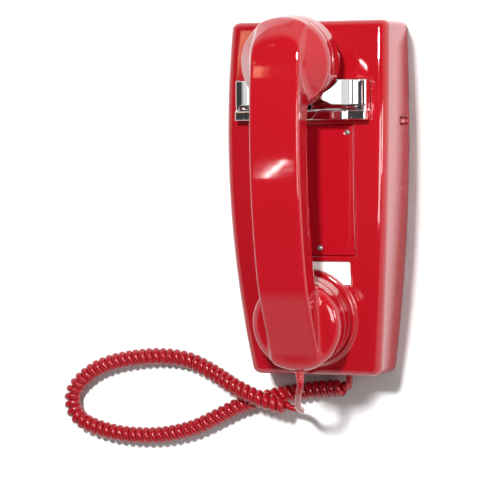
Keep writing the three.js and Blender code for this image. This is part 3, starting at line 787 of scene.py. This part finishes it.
def saddleDistance(x, y, z):
    s = saddle
    wide = np.abs(x)
    edge = s["edge"]
    plan = plateDistance(x, y - (s["low"] + s["high"]) / 2, s["halfWidth"], (s["high"] - s["low"]) / 2, 0.9)
    base = roundedCommon(plan, between(z, s["backZ"], s["faceZ"]), edge)
    rim = roundedCommon(
        np.maximum(plan, y - s["shelfTop"]), between(z, s["faceZ"] - 3, s["faceZ"] + 4), edge,
    )
    shelfPlan = outlineDistance(wide, y, np.array([
        (9, s["low"]), (s["halfWidth"], s["low"]), (s["halfWidth"], s["shelfTop"]), (14, s["shelfTop"]),
    ]))
    shelf = roundedCommon(shelfPlan, between(z, s["backZ"], s["shelfZ"] - 6), edge)
    tall = roundedCommon(np.maximum(shelfPlan, wide - 30), between(z, s["backZ"], s["shelfZ"]), edge)
    cheek = roundedCommon(
        outlineDistance(wide, z, cheekSweep),
        outlineDistance(wide, y, np.array([
            (s["cheekInner"], s["cheekY"] + 4), (s["cheekInner"] + 4, s["cheekY"]),
            (s["halfWidth"], s["cheekY"]), (s["halfWidth"], s["high"]), (s["cheekInner"], s["high"]),
        ])), edge * 0.6,
    )
    flange = np.maximum(plan, s["halfWidth"] - 2.5 - wide)
    flange = roundedCommon(flange, between(z, s["backZ"], s["flangeZ"]), edge)
    whole = roundedJoin(base, rim, s["fillet"])
    for part in (shelf, tall, flange, cheek):
        whole = roundedJoin(whole, part, s["fillet"])
    seat = np.maximum(np.hypot(x, y - earPlace[1] + 1.2) - handset["collarRadius"] - 1.2, s["faceZ"] - z)
    whole = roundedCut(whole, seat, 0.6)
    slot = plateDistance(x, y - 60.2, 5, 5.8, 1)
    return roundedCut(whole, slot, 0.6)


def makeSaddle():
    low, high = (np.array(corner) * 1000 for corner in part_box("cradle"))
    mesh = skinMesh("saddle", saddleDistance, low - 1.31, high + 1.31, saddle["step"])
    return addPiece("saddle", mesh, "chrome", ("cradle",), "phone_body")


makeSaddle()
print("saddle made")

# handset


def gripFront(y):
    return handset["height"] - handset["bow"] * (y / earY) ** 2


def curveThrough(start, middle, end, count=10):
    t = np.linspace(0, 1, count)[:, None]
    start, middle, end = (np.asarray(p, float) for p in (start, middle, end))
    return (1 - t) ** 2 * start + 2 * t * (1 - t) * middle + t ** 2 * end


def gripOutline():
    h = handset
    half, low = h["halfLength"], h["collarTop"] - 0.8
    roundY, creaseY = half - h["endRound"], h["creaseY"]
    crease = np.array((creaseY, gripFront(creaseY)))
    facetEnd = np.array((2 - half, h["facetEndZ"]))
    along = np.linspace(creaseY + 6, roundY, 37)[1:-1]
    front = np.stack((along, gripFront(along)), 1)
    under = np.linspace(40, -40, 17)
    hollow = np.stack((under, gripFront(under) - h["gripDepth"]), 1)
    foot = gripFront(40) - h["gripDepth"]
    return np.concatenate((
        [(-half, low)],
        curveThrough((-half, low + 1), facetEnd - (1, 0.4), facetEnd + (2, 0.76), 6),
        curveThrough(crease + (facetEnd - crease) * 0.12, crease, (creaseY + 6, gripFront(creaseY + 6))),
        front,
        curveThrough((roundY, gripFront(roundY)), (half - 3, gripFront(roundY) - 3), (half, low + 3)),
        [(half, low)],
        curveThrough((59, low), (52, foot - 1), (40, foot))[:-1], hollow,
        curveThrough((-40, foot), (-52, foot - 1), (-59, low))[1:],
    ))


gripLine = gripOutline()


def handsetDistance(x, y, z):
    h = handset
    collar, top = h["collarRadius"], h["collarTop"]
    nearEar = np.hypot(x, np.abs(y) - earY)
    leanRun, leanRise = np.where(y > 0, 11.5, 3.5), h["height"] - h["bow"] - top
    lean = ((nearEar - collar) * leanRise + (z - top) * leanRun) / np.hypot(leanRise, leanRun)
    strip = np.maximum(np.abs(x) - 20, np.abs(y) - earY)
    footprint = np.minimum(np.maximum(nearEar - collar, lean), strip)
    grip = roundedCommon(outlineDistance(y, z, gripLine), np.abs(x) - h["gripWidth"] / 2, h["edge"])
    grip = roundedCommon(grip, footprint, h["edge"])
    shoulder = ((nearEar - collar) * 5 + (z - top) * 4) / math.hypot(5, 4)
    crown = ((nearEar - collar + 4) * 9 + (z - top - 5) * 8) / math.hypot(9, 8)
    crown = np.where(y > 0, crown, -9)  # the mouth end's cup is flat, below the facet
    cup = np.maximum(nearEar - collar, h["capHeight"] + gap - z)
    cup = roundedCommon(roundedCommon(cup, shoulder, 1.2), crown, 4)
    cup = roundedCommon(cup, z - np.where(y > 0, top + 14, top + 3.5), 3)
    neck = np.maximum(nearEar - h["neckRadius"], between(z, 5, 16))
    whole = np.minimum(roundedJoin(cup, grip, h["fillet"]), neck)
    bore = np.minimum(
        np.maximum(nearEar - h["boreRadius"], z - 20), np.maximum(nearEar - 13, z - 28),
    )
    channel = np.maximum(
        np.maximum(np.abs(x) - 11, between(y, -50, 84)), between(z - gripFront(y), -13, -4),
    )
    cordHole = np.maximum(np.hypot(x, z - relief["z"]) - 3.5, y + 86)
    hollow = np.minimum(bore, channel)
    return roundedCut(np.maximum(whole, -hollow), cordHole, 0.4)


def makeHandsetShell():
    h = handset
    low = (-h["collarRadius"] - 1.52, -earY - h["collarRadius"] - 1.52, 3.53)
    high = (h["collarRadius"] + 1.52, earY + h["collarRadius"] + 1.52, h["height"] + 1.55)
    mesh = skinMesh("handsetShell", handsetDistance, low, high, h["step"], inHandset)
    return addPiece("handsetShell", mesh, "red_plastic", ("handset_shell",), "handset")


caps = {
    "receiver": {"side": 1, "rings": ((1, 0), (6, 6))},
    "transmitter": {"side": -1, "rings": ((1, 0), (6, 5), (12, 10))},
    "hole": 1.1, "floor": 2.2, "rim": 2.4, "step": 0.55,
}


def makeCap(name):
    # a shallow cup with a rounded rim and rings of holes in its face
    h = handset
    holes = [
        (radius * math.cos(i / count * 2 * math.pi), radius * math.sin(i / count * 2 * math.pi))
        for count, radius in caps[name]["rings"] for i in range(count)
    ]

    def capDistance(x, y, z):
        ring = np.hypot(x, y)
        cup = roundedCommon(ring - h["collarRadius"], -z, caps["rim"])
        cup = roundedCommon(cup, z - h["capHeight"], 0.5)
        cup = np.maximum(cup, -np.maximum(ring - h["neckRadius"] - gap, caps["floor"] - z))
        for holeX, holeY in holes:
            cup = roundedCut(cup, np.hypot(x - holeX, y - holeY) - caps["hole"], 0.3)
        return cup

    def place(points):
        return inHandset(points + (0, caps[name]["side"] * earY, 0))

    reach = h["collarRadius"] + 1.13
    low, high = (-reach, -reach, -1.13), (reach, reach, h["capHeight"] + 1.13)
    mesh = skinMesh(name + "Cap", capDistance, low, high, caps["step"], place)
    return addPiece(name + "Cap", mesh, "red_plastic", (name + "_cap",), "handset")


makeHandsetShell()
makeCap("receiver")
makeCap("transmitter")
print("handset made")

# volume wheel


def makeWheel():
    # rim radius R - d/2 (1 + cos ribs a) in plan, flat faces with a small round, and a bore
    sides = wheel["ribs"] * 12
    angle = np.arange(sides) / sides * 2 * math.pi
    rim = wheel["radius"] - wheel["ribDepth"] * (0.5 + 0.5 * np.cos(wheel["ribs"] * angle)) ** 3
    half = wheel["thickness"] / 2
    outline = roundedCorners((
        (wheel["bore"], half), (wheel["radius"], half), (wheel["radius"], -half), (wheel["bore"], -half),
    ), 0.5)
    inner = outline[:, :1] <= wheel["radius"] - 1
    radius = np.where(inner, outline[:, :1], outline[:, :1] - wheel["radius"] + rim[None, :])
    points = np.stack((
        wheel["x"] + radius * np.sin(angle), wheel["y"] + outline[:, 1:] + 0 * angle,
        wheel["z"] + radius * np.cos(angle),
    ), -1).reshape(-1, 3)
    rows = len(outline)
    quads = gridFaces(rows, sides)
    column = np.arange(sides)
    following = (column + 1) % sides
    last = (rows - 1) * sides
    bore = np.stack((last + column, last + following, following, column), 1)
    mesh = meshFrom("volumeWheel", points, np.concatenate((quads, bore)))
    return addPiece("volumeWheel", mesh, "red_plastic", ("volume_wheel",), "loudness_wheel")


makeWheel()
print("volume wheel made")

# finishes of the parts carried over from the frame

for row in frame["record"]["subparts"]:
    node = frame["nodes"][row["node"]]
    if not node.hide_render:
        node.data.materials.clear()
        node.data.materials.append(finishes[row["material_slot"]])

# floor, lights and world

studio = {
    "floor": 3.0,
    "sky": (0.05, 0.85),  # radiance overhead and near the horizon
    "skyEdge": (0.68, 0.36),  # sines of the elevations where they begin
    "lights": {  # place, aim, width, height, turn in degrees, colour, power in watts
        "key": ((0.22, 0.50, 1.36), (0, 0, 0.03), 0.12, 0.12, 0, (1, 0.98, 0.96), 24),
        "floorKey": ((-0.20, 0.56, 1.34), (0, 0, 0), 0.2, 0.2, 0, (1, 1, 1), 27),
        "fill": ((0.80, -0.05, 1.30), (0, 0, 0.05), 0.5, 0.5, 0, (1, 1, 1), 6),
        "rightLamp": ((1.05, 0.06, 0.75), (0, 0, 0.03), 0.05, 0.26, 0, (1, 1, 1), 2.2),
        "glint": ((-0.4505, -0.131, 1.30), (0, 0.02, 0.098), 0.005, 0.09, -16, (1, 1, 1), 0.05),
        "warmStrip": ((-0.482, 0.445, 1.30), (0, 0.085, 0.096), 0.014, 0.2, 0, (1, 0.6, 0.35), 0.06),
        "warmEdge": ((-0.552, 0.455, 1.30), (-0.043, 0.09, 0.04), 0.012, 0.2, 0, (1, 0.6, 0.35), 0.06),
    },
}


def addStudio():
    size = studio["floor"]
    corners = np.array([(-size, -size, 0), (size, -size, 0), (size, size, 0), (-size, size, 0)]) * 1000
    mesh = meshFrom("floor", corners, [(0, 1, 2, 3)])
    floor = bpy.data.objects.new("floor", mesh)
    scene.collection.objects.link(floor)
    paper = bpy.data.materials.new("floorPaper")
    paper.use_nodes = True
    shader = paper.node_tree.nodes["Principled BSDF"]
    shader.inputs["Base Color"].default_value = (0.94, 0.94, 0.94, 1)
    shader.inputs["Roughness"].default_value = 0.8
    shader.inputs["Specular IOR Level"].default_value = 0.2
    mesh.materials.append(paper)
    phoneOnly, floorOnly = (bpy.data.collections.new(name) for name in ("phoneOnly", "floorOnly"))
    for collection in (phoneOnly, floorOnly):
        collection.objects.link(floor)
    phoneOnly.collection_objects[0].light_linking.link_state = "EXCLUDE"
    for name, (place, aim, width, height, turn, colour, power) in studio["lights"].items():
        lamp = bpy.data.lights.new(name, "AREA")
        lamp.shape = "RECTANGLE"
        lamp.size = width
        lamp.size_y = height
        lamp.energy = power
        lamp.color = colour
        lampObject = bpy.data.objects.new(name, lamp)
        scene.collection.objects.link(lampObject)
        direction = Vector(place) - Vector(aim)
        out = direction.normalized()
        side = Vector((0, 1, 0)).cross(out).normalized()
        facing = Matrix((side, out.cross(side), out)).transposed().to_4x4()
        spin = Matrix.Rotation(math.radians(turn), 4, "Z")
        lampObject.matrix_world = Matrix.Translation(place) @ facing @ spin
        # the floor has a key of its own, so that its shadow falls clear of the phone
        if name in ("key", "fill"):
            lampObject.light_linking.receiver_collection = phoneOnly
        if name == "floorKey":
            lampObject.light_linking.receiver_collection = floorOnly
    world = bpy.data.worlds.new("studio")
    world.use_nodes = True
    tree = world.node_tree
    sky = tree.nodes["Background"]
    height = tree.nodes.new("ShaderNodeSeparateXYZ")
    tree.links.new(tree.nodes.new("ShaderNodeTexCoord").outputs["Generated"], height.inputs[0])
    tree.links.new(remap(tree, height.outputs[2], *studio["sky"], *studio["skyEdge"]), sky.inputs[1])
    sky.inputs[0].default_value = (1, 1, 1, 1)
    scene.world = world
    scene.view_settings.view_transform = "Standard"


addStudio()
print("studio lit")
